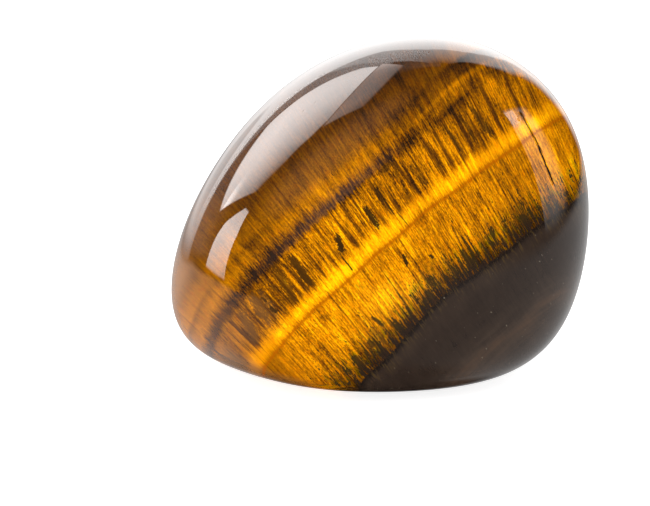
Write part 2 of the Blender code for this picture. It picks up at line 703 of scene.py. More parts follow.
    # single dark marks that stand out among the fibres
    dark_lenses: tuple[DarkLens, ...] = lenses(
        (-9.84, -1.75, 0.17, 0.36, -0.2, 0.95),
        (-9.88, -0.81, 0.10, 0.25, -0.2, 0.7),
        (-6.66, -1.00, 0.26, 1.2, 0.04, 0.5),
        (-6.77, -1.85, 0.22, 0.5, 0.0, 0.5),
        (-3.46, -1.54, 0.26, 0.62, 0.45),
        (-3.94, -2.75, 0.06, 0.75, 0.05),
        (-0.65, -1.62, 0.22, 1.0, 0.08),
        (0.73, -1.38, 0.12, 1.1, 0.05, 0.8),
        (0.91, -2.95, 0.05, 0.6, 0.0, 0.8),
        (-0.80, -5.08, 0.13, 0.42, 0.35),
        (0.73, -5.94, 0.12, 0.20, -0.2),
        (-4.97, -6.81, 0.15, 0.5, -0.2, 0.9),
        (-6.32, -7.54, 0.18, 0.32, 0.0, 0.9),
        (-2.62, -6.30, 0.04, 1.9, 0.09, 0.85),
        (-6.34, -5.80, 0.045, 3.2, 0.03, 0.65),
        (-5.55, -7.50, 0.22, 0.7, 0.0, 0.6),
        (-0.56, -6.75, 0.09, 0.7, 0.1, 0.6),
        (1.17, -7.02, 0.12, 0.7, 0.05, 0.7),
        (-7.75, -7.90, 0.20, 0.55, 0.1, 0.9),
        (-1.15, -7.85, 0.28, 0.62, 0.1, 0.95),
        (-0.20, -7.90, 0.14, 0.45, 0.1, 0.8),
        (2.47, -7.55, 0.22, 0.80, 0.1, 0.95),
        (5.25, -7.95, 0.12, 0.40, 0.1, 0.7),
        (2.97, -5.94, 0.08, 0.75, 0.3, 0.6),
        (5.87, -5.11, 0.05, 0.6, 0.2, 0.6),
        (7.30, -7.88, 0.30, 0.5, 0.1, 0.9),
        (7.64, -6.06, 0.05, 1.6, 0.18, 0.7),
        (9.33, -1.28, 0.24, 1.4, 0.1, 0.8),
        (8.32, -1.03, 0.13, 1.1, 0.1, 0.75),
        (7.07, -1.26, 0.15, 1.0, 0.1, 0.75),
        (3.68, -1.38, 0.28, 0.95, 0.0, 0.5),
        (2.15, 0.21, 0.70, 0.22, 0.0, 0.55),
    )
    columns: tuple[DarkLens, ...] = lenses(
        (-6.66, -1.25, 0.34, 1.45, 0.04),
        (-8.11, -1.15, 0.36, 1.50, 0.20),
        (-10.52, -1.10, 0.38, 1.25, 0.12, 0.85),
        (-11.90, -1.20, 0.40, 1.20, 0.17, 0.8),
        (-9.85, -1.25, 0.26, 1.05, 0.10, 0.6),
    )
    # where the hairline crack is painted dark: painted shade along the groove cut into the mesh
    crack: tuple[DarkLens, ...] = lenses(
        (11.60, -3.5, 0.05, 1.45, 0.21, 0.8),
        (10.93, -5.75, 0.075, 1.55, 0.35),
    )
    # where the two maps of the fibres change over, and how the layers sag and bow
    change_over: Span = (0.66, 0.84)
    flank_shift: float = 40.0
    sagging: Span = (0.5, -2.5)
    bow_side: Span = (6.5, 10.0, 0.0, 0.3)
    bow_height: Span = (-1.0, 0.5)
    swell_scale: float = 0.22
    swell_rise: float = 0.4
    # the runs of layers that change along the bands
    low_zone: Span = (-2.6, -3.0)
    row_zone: tuple[Span, Span] = ((-3.0, -2.6), (0.75, 0.4))
    line_zone: tuple[Span, Span] = ((0.4, 0.75), (1.8, 1.4))
    ridge_zone: tuple[Span, Span] = ((1.4, 1.8), (3.0, 2.5))
    high_zone: Span = (2.5, 3.0)
    core_zone: tuple[Span, Span] = ((0.3, 0.6), (1.15, 0.85))
    core_side: Span = (4.0, 6.5, 0.0, 0.12)
    calm_left: Span = (-13.0, -9.5, 0.25, 1.0)
    calm_right: Span = (5.0, 9.5, 1.0, 0.7)
    # dark marks: columns, threads, flecks and spikes
    column_edge: Span = (0.0, 0.6)
    column_depth: float = 0.6
    thread_edge: Span = (0.62, 0.95)
    thread_depth: float = 0.45
    spike_edge: Span = (-0.14, 0.18)
    fleck_edge: Span = (0.6, 1.15)
    shade_depth: float = 0.97
    front_only: Span = (-4.5, -3.5, 1.0, 0.0)
    # hues
    warm_hue: Span = (0.1, 1.0, 0.0, 0.5)
    green_hue: Span = (-0.1, -1.0, 0.0, 0.4)
    olive_hue: Span = (0.2, -0.8, 0.0, 0.85)
    olive_rise: Span = (2.5, 1.3)
    dusk_rise: Span = (1.5, 0.2, 0.0, 0.75)
    shade_rise: Span = (0.1, 1.3)
    high_shade_rise: Span = (2.2, 3.0)
    flat_columns: float = 0.8
    milky_column_side: Span = (-8.6, -9.8)
    milk_side: Span = (-11.2, -13.4, 0.0, 0.6)
    milk_height: Span = (4.0, 5.6)
    rim_side: Span = (-10.5, -12.5, 0.0, 0.7)
    rim_inward: Span = (-6.3, -4.9)
    rim_height: Span = (0.5, -1.5)
    seam_waver: float = 0.05
    seam_edge: Span = (0.0, 0.17, 0.76, 0.0)
    # the blue-black layer
    dark_edge: Span = (0.08, -0.06)
    dark_edge_waver: float = 0.05
    thread_stretch: tuple[float, float, float] = (0.30, 0.30, 3.2)
    thread_contrast: float = 0.7
    mottle_contrast: float = 0.035
    black_edge: Span = (-0.45, -0.03, 0.0, 0.3)
    sunken_edge: Span = (0.1, 1.0, 0.0, 0.45)
    sunken_rise: Span = (-1.1, -0.25)
    speck_edge: Span = (1.2, 1.4, 0.0, 0.4)

    def build(self) -> bpy.types.Material:
        """Make the material.

        Returns:
            The stone's material.
        """
        material, graph = new_material(self.name)
        values = {
            "Base Color": self.colour(graph, self.point(graph)),
            "Roughness": self.base_roughness,
            "Specular IOR Level": 0.0,
            "Coat Weight": 1.0,
            "Coat Roughness": self.coat_roughness,
            "Coat IOR": self.coat_ior,
        }
        graph.fill(material.node_tree.nodes["Principled BSDF"], values)
        return material

    def layer_frame(self, graph: Graph) -> tuple[Socket, Socket]:
        """Turn places and facings to run along the bands, inward, and up through the layers.

        Args:
            graph: the nodes to add to.

        Returns:
            The place in millimetres from the heart, and the way the surface faces.
        """
        up = self.up_through_layers.normalized()
        along = (self.along_bands - up * self.along_bands.dot(up)).normalized()
        turn = Matrix((along, up.cross(along), up))
        angles = tuple(turn.to_euler("XYZ"))
        here = graph.node("ShaderNodeTexCoord")
        place = graph.node("ShaderNodeMapping", vector_type="POINT")
        values = {
            "Vector": here.outputs["Object"],
            "Scale": (1 / MM, 1 / MM, 1 / MM),
            "Rotation": angles,
            "Location": tuple(-(turn @ self.heart)),
        }
        graph.fill(place, values)
        facing = graph.node("ShaderNodeMapping", vector_type="VECTOR")
        graph.fill(facing, {"Vector": here.outputs["Normal"], "Rotation": angles})
        return place.outputs[0], facing.outputs[0]

    def weave(self, graph: Graph) -> Weave:
        """Lay the fibres flat twice, for faces that look to the front or back and to the sides.

        Args:
            graph: the nodes to add to.

        Returns:
            The place in the layers and both maps of the fibres.
        """
        layers, facing = self.layer_frame(graph)
        side, inward, height = graph.split(layers)
        side = graph.minus(side, height, self.fibre_lean_sideways)
        fan = graph.minus(1.0, height, self.fan)
        front = graph.join(graph.times(side, fan), height, 0.0)
        inward = graph.minus(inward, height, self.fibre_lean_inward)
        flank = graph.join(graph.plus(inward, self.flank_shift), height, 0.0)
        looks_side, looks_in, _ = graph.split(facing)
        looks_side, looks_in = graph.math("ABSOLUTE", looks_side), graph.math("ABSOLUTE", looks_in)
        both = graph.most(graph.plus(looks_side, looks_in), LEAST)
        turned = graph.fade(graph.over(looks_side, both), *self.change_over)
        return Weave(layers, front, flank, turned)

    def settle(self, graph: Graph, weave: Weave) -> Socket:
        """Return the height through layers that sag a little to the right and are never quite flat.

        Args:
            graph: the nodes to add to.
            weave: the place in the layers.

        Returns:
            The height in millimetres.
        """
        side, _, height = graph.split(weave.layers)
        sag = graph.times(graph.profile(side, self.sag), graph.fade(height, *self.sagging))
        bow = graph.times(graph.fade(side, *self.bow_side), graph.fade(height, *self.bow_height))
        swell = graph.noise(weave.layers, Scale=self.swell_scale, Detail=1.0)
        wave = graph.times(graph.minus(swell, 0.5), self.swell_rise)
        return graph.plus(graph.plus(height, graph.minus(sag, bow)), wave)

    def point(self, graph: Graph) -> Point:
        """Work out where a shaded point lies and what its fibres are like.

        Args:
            graph: the nodes to add to.

        Returns:
            All that the finish's other steps read.
        """
        weave = self.weave(graph)
        side, inward, height = graph.split(weave.layers)
        settled = self.settle(graph, weave)
        top = graph.plus(graph.profile(side, self.dark_layer_tops), self.dark_layer_lowest)
        rise = graph.minus(height, top)
        fine = FineStreaks(*(weave.streaks(graph, kind) for kind in (self.grain, self.hair, self.strand)))
        tear = graph.plus(weave.streaks(graph, self.tear), fine.hair, 0.5)
        torn = graph.plus(settled, tear, graph.profile(settled, self.tears))
        return Point(weave, side, inward, height, settled, torn, rise, fine)

    def marks(self, graph: Graph, point: Point, torn: Socket, placed: tuple[DarkLens, ...]) -> Socket:
        """Lay out single dark marks on the front, and leave the far side free of them.

        Args:
            graph: the nodes to add to.
            point: what the finish knows of the shaded point.
            torn: the streaks that tear the marks' edges.
            placed: the marks to lay out.

        Returns:
            How strongly the marks cover the gold, 0 to 1.
        """
        found: Feed = 0.0
        for lens in placed:
            values = {
                "Layers": point.weave.layers,
                "Torn": torn,
                "Sideways": lens.sideways,
                "Height": lens.height,
                "Half Width": lens.half_width,
                "Half Length": lens.half_length,
                "Lean": lens.lean,
            }
            found = graph.most(found, graph.times(graph.group("dark_lens", values), lens.strength))
        return graph.times(found, graph.fade(point.inward, *self.front_only))

    def darken(self, graph: Graph, gold: Socket, mask: Socket, share: float) -> Socket:
        """Take a share of the gold away under a mask."""
        return graph.times(gold, graph.minus(1.0, mask, share))

    def zones(self, graph: Graph, point: Point) -> tuple[tuple[Stops, Socket], ...]:
        """Pair each run of layers with how its gold changes along the bands.

        Args:
            graph: the nodes to add to.
            point: what the finish knows of the shaded point.

        Returns:
            Pairs of a run's changes and a mask of where it lies.
        """
        height = point.settled
        return (
            (self.low_change, graph.fade(height, *self.low_zone)),
            (self.row_change, graph.within(height, *self.row_zone)),
            (self.line_change, graph.within(height, *self.line_zone)),
            (self.ridge_change, graph.within(height, *self.ridge_zone)),
            (self.high_change, graph.fade(height, *self.high_zone)),
        )

    def gold(self, graph: Graph, point: Point) -> Socket:
        """Work out how golden the fibres are: by layer, by place along it, and fibre by fibre.

        Args:
            graph: the nodes to add to.
            point: what the finish knows of the shaded point.

        Returns:
            The place on the scale of gold, from 0 to 1.
        """
        weave, fine, side, torn = point.weave, point.fine, point.side, point.torn
        level = graph.profile(torn, self.levels)
        for stops, zone in self.zones(graph, point):
            level = graph.plus(level, graph.minus(graph.profile(side, stops), 0.5), zone)
        # on the right the dark line is only faint
        core = graph.within(point.settled, *self.core_zone)
        level = graph.plus(level, core, graph.fade(side, *self.core_side))
        lit = graph.total(
            (fine.grain, 0.48),
            (fine.hair, 0.64),
            (weave.streaks(graph, self.line), 0.58),
            (fine.strand, 0.55),
            (weave.streaks(graph, self.bundle), 0.44),
            (weave.streaks(graph, self.patch), 0.25),
        )
        for calm in (self.calm_left, self.calm_right):
            lit = graph.times(lit, graph.fade(side, *calm))
        level = graph.plus(level, lit, graph.profile(torn, self.strengths))
        column = graph.plus(weave.streaks(graph, self.column), fine.hair, 0.3)
        row = graph.profile(torn, self.row_of_columns)
        column = graph.times(graph.fade(column, *self.column_edge), row)
        level = self.darken(graph, level, column, self.column_depth)
        thread = graph.fade(weave.streaks(graph, self.thread), *self.thread_edge)
        thread = graph.times(thread, graph.profile(point.settled, self.threads_seen))
        return self.darken(graph, level, thread, self.thread_depth)

    def shade(self, graph: Graph, point: Point) -> Socket:
        """Work out where dark flecks, lenses and the spikes on the blue-black layer hide the gold.

        Args:
            graph: the nodes to add to.
            point: what the finish knows of the shaded point.

        Returns:
            How much of the gold is hidden, 0 to 1.
        """
        weave, fine = point.weave, point.fine
        ragged = graph.total((fine.grain, 0.5), (fine.hair, 0.5), (fine.strand, 0.5))
        spike = graph.total(
            (weave.streaks(graph, self.spike), 0.80),
            (fine.strand, 0.65),
            (fine.hair, 0.78),
            (fine.grain, 0.42),
        )
        reach = graph.plus(point.rise, graph.profile(point.side, self.spike_change))
        spike = graph.fade(graph.minus(spike, graph.profile(reach, self.spike_heights)), *self.spike_edge)
        fleck = graph.plus(weave.streaks(graph, self.fleck), ragged, 0.5)
        seen = graph.profile(point.settled, self.flecks_seen)
        fleck = graph.times(graph.fade(fleck, *self.fleck_edge), seen)
        return graph.most(graph.most(spike, fleck), self.marks(graph, point, ragged, self.dark_lenses))

    def colour(self, graph: Graph, point: Point) -> Socket:
        """Work out the colour of every point.

        Args:
            graph: the nodes to add to.
            point: what the finish knows of the shaded point.

        Returns:
            The base colour.
        """
        tones, hue = self.tones, point.weave.streaks(graph, self.tinge)
        scale = [(place, srgb(*tone)) for place, tone in self.palette]
        colour = graph.ramp(self.gold(graph, point), scale)
        colour = graph.blend(graph.fade(hue, *self.warm_hue), colour, tones.warm_veil, Blend.MULTIPLY)
        colour = graph.blend(graph.fade(hue, *self.green_hue), colour, tones.green_veil, Blend.MULTIPLY)
        # the smoky violet of the dark line
        smoke = graph.profile(point.torn, self.smoke)
        smoke = graph.times(smoke, graph.profile(point.side, self.smoke_sideways))
        colour = graph.blend(smoke, colour, tones.smoke)
        upper = graph.profile(point.settled, self.upper_brown)
        colour = self.left_end(graph, point, graph.blend(upper, colour, tones.upper_brown))
        colour = graph.blend(self.seam(graph, point), colour, tones.seam)
        colour = self.shaded(graph, point, colour, hue)
        below = graph.fade(graph.plus(point.rise, point.fine.hair, self.dark_edge_waver), *self.dark_edge)
        colour = graph.blend(below, colour, self.dark_layer_colour(graph, point))
        # the hairline crack is cut into the mesh, and its dark line here is painted shade in the groove
        return graph.blend(self.marks(graph, point, point.fine.hair, self.crack), colour, tones.crack)

    def left_end(self, graph: Graph, point: Point, colour: Socket) -> Socket:
        """Lay in the flat brown columns on the left and the milky end of the stone.

        Args:
            graph: the nodes to add to.
            point: what the finish knows of the shaded point.
            colour: the colour so far.

        Returns:
            The colour with both laid over it.
        """
        side, tones = point.side, self.tones
        ragged = graph.plus(point.fine.hair, point.fine.grain, 0.5)
        columns = graph.times(self.marks(graph, point, ragged, self.columns), self.flat_columns)
        milky = graph.blend(graph.fade(side, *self.milky_column_side), tones.column, tones.milky_column)
        colour = graph.blend(columns, colour, milky)
        milk = graph.times(graph.fade(side, *self.milk_side), graph.fade(point.settled, *self.milk_height))
        colour = graph.blend(milk, colour, tones.milk)
        rim = graph.times(graph.fade(side, *self.rim_side), graph.fade(point.inward, *self.rim_inward))
        rim = graph.times(rim, graph.fade(point.settled, *self.rim_height))
        return graph.blend(rim, colour, tones.milky_rim)

    def seam(self, graph: Graph, point: Point) -> Socket:
        """Return the share of the soft brown line under the bright stripe.

        Args:
            graph: the nodes to add to.
            point: what the finish knows of the shaded point.

        Returns:
            The share, from 0 to 1.
        """
        seam = graph.plus(point.settled, point.fine.hair, self.seam_waver)
        seam = graph.math("ABSOLUTE", graph.minus(seam, self.seam_height))
        return graph.fade(graph.minus(seam, point.fine.strand, self.seam_waver), *self.seam_edge)

    def shaded(self, graph: Graph, point: Point, colour: Socket, hue: Socket) -> Socket:
        """Lay in what hides the gold: olive near the dark layer and brownish black above.

        Args:
            graph: the nodes to add to.
            point: what the finish knows of the shaded point.
            colour: the colour so far.
            hue: the streaks that make a strand warm or green.

        Returns:
            The colour with the shade laid over it.
        """
        rise, tones = point.rise, self.tones
        olive = graph.times(graph.fade(hue, *self.olive_hue), graph.fade(rise, *self.olive_rise))
        colour = graph.blend(olive, colour, tones.olive_veil, Blend.MULTIPLY)
        dusk = graph.fade(rise, *self.dusk_rise)
        colour = graph.blend(dusk, colour, tones.dusk_veil, Blend.MULTIPLY)
        hidden = graph.blend(graph.fade(rise, *self.shade_rise), tones.shade_low, tones.shade_middle)
        hidden = graph.blend(graph.fade(rise, *self.high_shade_rise), hidden, tones.shade_high)
        shade = graph.times(self.shade(graph, point), self.shade_depth)
        return graph.blend(shade, colour, hidden)

    def dark_layer_colour(self, graph: Graph, point: Point) -> Socket:
        """Colour the blue-black layer: a black edge, grey-brown below it, and a faint brown band.

        Args:
            graph: the nodes to add to.
            point: what the finish knows of the shaded point.

        Returns:
            The layer's colour.
        """
        weave, fine, height, rise = point.weave, point.fine, point.height, point.rise
        stretched = graph.node("ShaderNodeVectorMath", operation="MULTIPLY")
        graph.feed(stretched.inputs[0], weave.layers)
        graph.feed(stretched.inputs[1], self.thread_stretch)
        thin = graph.noise(stretched.outputs[0], Scale=1.0)
        threads = graph.times(graph.minus(thin, 0.5), self.thread_contrast)
        level = graph.profile(height, self.dark_layer)
        level = graph.plus(level, threads, graph.profile(height, self.brown_band))
        mottle = graph.plus(graph.plus(fine.hair, fine.strand), weave.streaks(graph, self.patch))
        level = graph.plus(level, mottle, self.mottle_contrast)
        level = graph.minus(level, graph.fade(rise, *self.black_edge))
        colour = graph.ramp(level, list(self.tones.dark_layer))
        # ends of fibres that show through just below the edge
        ends = graph.fade(graph.plus(fine.hair, fine.strand, 0.6), *self.sunken_edge)
        ends = graph.times(ends, graph.fade(rise, *self.sunken_rise))
        colour = graph.blend(ends, colour, self.tones.sunken_ends)
        # a few pale specks
        pale = graph.fade(weave.streaks(graph, self.speck), *self.speck_edge)
        return graph.blend(pale, colour, self.tones.speck)


@dataclass
class Stone:
    """The one piece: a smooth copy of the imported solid, with its hairline crack and three tiny pits.

    The crack is a line of places and the pits are places, in millimetres from the table's middle.
    """

    node: str = "stone"
    body: str = "root"
    merge: float = 0.001 * MM
    square_bend: float = radians(40)
    smooth_levels: int = 2
    crack: Places = (
        (9.51, -6.34, 20.41),
        (10.01, -6.26, 19.63),
        (10.37, -6.24, 18.86),
        (10.73, -6.14, 18.19),
        (11.09, -6.08, 17.29),
        (11.46, -5.98, 16.44),
        (11.89, -5.84, 15.28),
    )
    crack_half_width: float = 0.065 * MM
    crack_depth: float = 0.07 * MM
    pits: Places = ((-4.56, -5.64, 20.98), (-5.36, -5.73, 20.41), (9.42, -6.58, 20.01))
    pit_radius: float = 0.07 * MM
    pit_depth: float = 0.012 * MM
    fine_reach: float = 0.30 * MM
    fine_cuts: int = 3
    finish: TigersEye = field(default_factory=TigersEye)

    def build(self) -> bpy.types.Object:
        """Model, smooth and dress the stone, and attach it to its body.

        Returns:
            The finished object.
        """
        stone = self.copy_of_solid()
        self.smooth(stone)
        self.nick(stone)
        stone.data.materials.clear()
        stone.data.materials.append(self.finish.build())
        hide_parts(self.node)
        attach(stone, self.body)
        return stone

    def copy_of_solid(self) -> bpy.types.Object:
        """Copy the node's mesh and turn its loose triangles back into joined squares.

        Returns:
            The copy.
        """
        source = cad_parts[self.node]
        stone = bpy.data.objects.new("polished_stone", source.data.copy())
        bpy.context.scene.collection.objects.link(stone)
        bpy.ops.object.select_all(action="DESELECT")
        bpy.context.view_layer.objects.active = stone
        stone.select_set(True)
        bpy.ops.object.mode_set(mode="EDIT")
        bpy.ops.mesh.select_all(action="SELECT")
        bpy.ops.mesh.remove_doubles(threshold=self.merge)
        bpy.ops.mesh.tris_convert_to_quads(face_threshold=pi, shape_threshold=self.square_bend)
        bpy.ops.object.mode_set(mode="OBJECT")
        return stone

    def smooth(self, stone: bpy.types.Object) -> None:
        """Round the squares off to a polished surface.

        Args:
            stone: the stone's object.
        """
        rounding = stone.modifiers.new("polish", "SUBSURF")
        rounding.levels = self.smooth_levels
        rounding.render_levels = self.smooth_levels
        bpy.ops.object.modifier_apply(modifier=rounding.name)
        bpy.ops.object.shade_smooth()

    def off_crack(self, place: Vector) -> float:
        """Return how far a place is from the crack's edge.

        Args:
            place: a place on the stone.

        Returns:
            The distance, below nothing within the crack.
        """
        points = [Vector(point) * MM for point in self.crack]
        nearest = inf
        for start, end in zip(points, points[1:]):
            _, share = geometry.intersect_point_line(place, start, end)
            on_line = start.lerp(end, min(max(share, 0.0), 1.0))
            nearest = min(nearest, (place - on_line).length)
        return nearest - self.crack_half_width

    def off_pits(self, place: Vector) -> float:
        """Return how far a place is from the edge of the nearest pit."""
        return min((place - Vector(pit) * MM).length for pit in self.pits) - self.pit_radius

    def nick(self, stone: bpy.types.Object) -> None:
        """Cut the hairline crack and a few pits: finer faces around them, then a press inward.

        Args:
            stone: the stone's object.
        """
        bpy.ops.object.mode_set(mode="EDIT")
        bpy.ops.mesh.select_mode(type="FACE")
        bpy.ops.mesh.select_all(action="DESELECT")
        bpy.ops.object.mode_set(mode="OBJECT")
        for polygon in stone.data.polygons:
            reach = min(self.off_crack(polygon.center), self.off_pits(polygon.center))
            polygon.select = reach < self.fine_reach
        bpy.ops.object.mode_set(mode="EDIT")
        bpy.ops.mesh.subdivide(number_cuts=self.fine_cuts, smoothness=1.0)
        bpy.ops.mesh.select_mode(type="VERT")
        bpy.ops.object.mode_set(mode="OBJECT")
        self.press(stone, self.off_crack, self.crack_depth)
        self.press(stone, self.off_pits, self.pit_depth)
        bpy.ops.object.shade_smooth()

    def press(self, stone: bpy.types.Object, off: Callable[[Vector], float], depth: float) -> None:
        """Press the surface inward wherever it lies within a mark.

        Args:
            stone: the stone's object.
            off: returns how far a place is from the mark's edge.
            depth: how far the surface is pressed in.
        """
        bpy.ops.object.mode_set(mode="EDIT")
        bpy.ops.mesh.select_all(action="DESELECT")
        bpy.ops.object.mode_set(mode="OBJECT")
        for vertex in stone.data.vertices:
            vertex.select = off(vertex.co) < 0.0
        bpy.ops.object.mode_set(mode="EDIT")
        bpy.ops.transform.shrink_fatten(value=-depth)
        bpy.ops.object.mode_set(mode="OBJECT")


# --- the studio -----------------------------------------------------------------------------


@dataclass(frozen=True)
class Edge:
    """A straight edge of a card: what lies beyond it is cut away.

    The card's own x runs to the right and its y up, as seen from the stone, in millimetres. The
    edge faces the way of its angle, from x towards y, at its distance from the card's middle.
    """

    angle: float
    distance: float
    softness: float = 4.0


@dataclass(frozen=True)
class Card:
    """A lit card or softbox front. It shows only in polished surfaces.

    Azimuth and lift are in degrees, distance and reach in millimetres. Radiance is the card's
    light, which its profiles across and upward make stronger or weaker from place to place.
    """

    name: str
    azimuth: float
    lift: float
    distance: float
    radiance: float
    edges: tuple[Edge, ...]
    across: Stops = ((-100.0, 1.0), (100.0, 1.0))
    upward: Stops = ((-100.0, 1.0), (100.0, 1.0))
    tint: tuple[float, float, float] = (1.0, 0.965, 0.95)
    reach: float = 700.0

    def build(self, aim: Vector) -> None:
        """Stand the card up, facing the stone, and light it.

        Args:
            aim: the place in the studio that it faces.
        """
        away = toward(self.azimuth, self.lift)
        right = away.cross(Vector((0.0, 0.0, 1.0))).normalized()
        upright = right.cross(away)
        bpy.ops.object.select_all(action="DESELECT")
        bpy.ops.mesh.primitive_plane_add(size=2 * self.reach * MM)
        card = bpy.context.active_object
        card.name = self.name
        card.matrix_world = Matrix.Translation(aim + away * self.distance * MM) @ Matrix(
            (right, upright, -away)
        ).transposed().to_4x4()
        card.data.materials.append(self.material())
        card.visible_camera = False
        card.visible_diffuse = False
        card.visible_shadow = False

    def material(self) -> bpy.types.Material:
        """Make the card's light, clear beyond its edges.

        Returns:
            The material.
        """
        material, graph = new_material(self.name)
        material.node_tree.nodes.clear()
        place = graph.node("ShaderNodeTexCoord")
        x, y, _ = graph.split(place.outputs["Object"])
        x, y = graph.times(x, 1 / MM), graph.times(y, 1 / MM)
        inside: Feed = 1.0
        for edge in self.edges:
            turn = radians(edge.angle)
            beyond = graph.plus(graph.times(x, cos(turn)), graph.times(y, sin(turn)))
            half = edge.softness / 2
            within = graph.fade(beyond, edge.distance - half, edge.distance + half, 1.0, 0.0)
            inside = graph.times(inside, within)
        glow = graph.times(graph.profile(x, self.across), graph.profile(y, self.upward))
        light = graph.node("ShaderNodeEmission")
        graph.fill(light, {"Color": (*self.tint, 1.0), "Strength": graph.times(glow, self.radiance)})
        clear = graph.node("ShaderNodeBsdfTransparent")
        mixed = graph.node("ShaderNodeMixShader")
        for socket, value in zip(mixed.inputs, (inside, clear.outputs[0], light.outputs[0])):
            graph.feed(socket, value)
        output = graph.node("ShaderNodeOutputMaterial")
        graph.feed(output.inputs[0], mixed.outputs[0])
        return material


@dataclass(frozen=True)
class SoftLight:
    """A broad soft light that doesn't show in polished surfaces.

    Azimuth and lift are in degrees, distance and size in metres.
    """

    name: str
    azimuth: float
    lift: float
    distance: float
    size: float
    radiance: float

    def build(self, aim: Vector) -> None:
        """Hang the light and turn it to the stone.

        Args:
            aim: the place in the studio that it faces.
        """
        lamp = bpy.data.lights.new(self.name, "AREA")
        lamp.shape = "DISK"
        lamp.size = self.size
        lamp.energy = self.radiance * pi * pi * (self.size / 2) ** 2
        light = bpy.data.objects.new(self.name, lamp)
        away = toward(self.azimuth, self.lift)
        light.location = aim + away * self.distance
        light.rotation_euler = away.to_track_quat("Z", "Y").to_euler()
        light.visible_camera = False
        light.visible_glossy = False
        bpy.context.scene.collection.objects.link(light)


@dataclass(frozen=True)
class Oval:
    """A soft-edged oval patch of the surroundings.

    Turn and lift give its middle, and half_width and half_height its size, all in degrees. It
    fades over the soft share of its radius.
    """

    turn: float
    lift: float
    half_width: float
    half_height: float
    soft: float

    def mask(self, graph: Graph, turn: Socket, lift: Socket) -> Socket:
        """Return 1 inside the patch and 0 outside it.

        Args:
            graph: the nodes to add to.
            turn: degrees round from the camera's side.
            lift: degrees above the table.

        Returns:
            The mask, with a soft edge.
        """
        reach: Feed = 0.0
        sizes = ((turn, self.turn, self.half_width), (lift, self.lift, self.half_height))
        for value, middle, radius in sizes:
            reach = graph.plus(reach, graph.power(graph.over(graph.minus(value, middle), radius), 2.0))
        return graph.fade(graph.math("SQRT", reach), 1.0 - self.soft, 1.0 + self.soft, 1.0, 0.0)


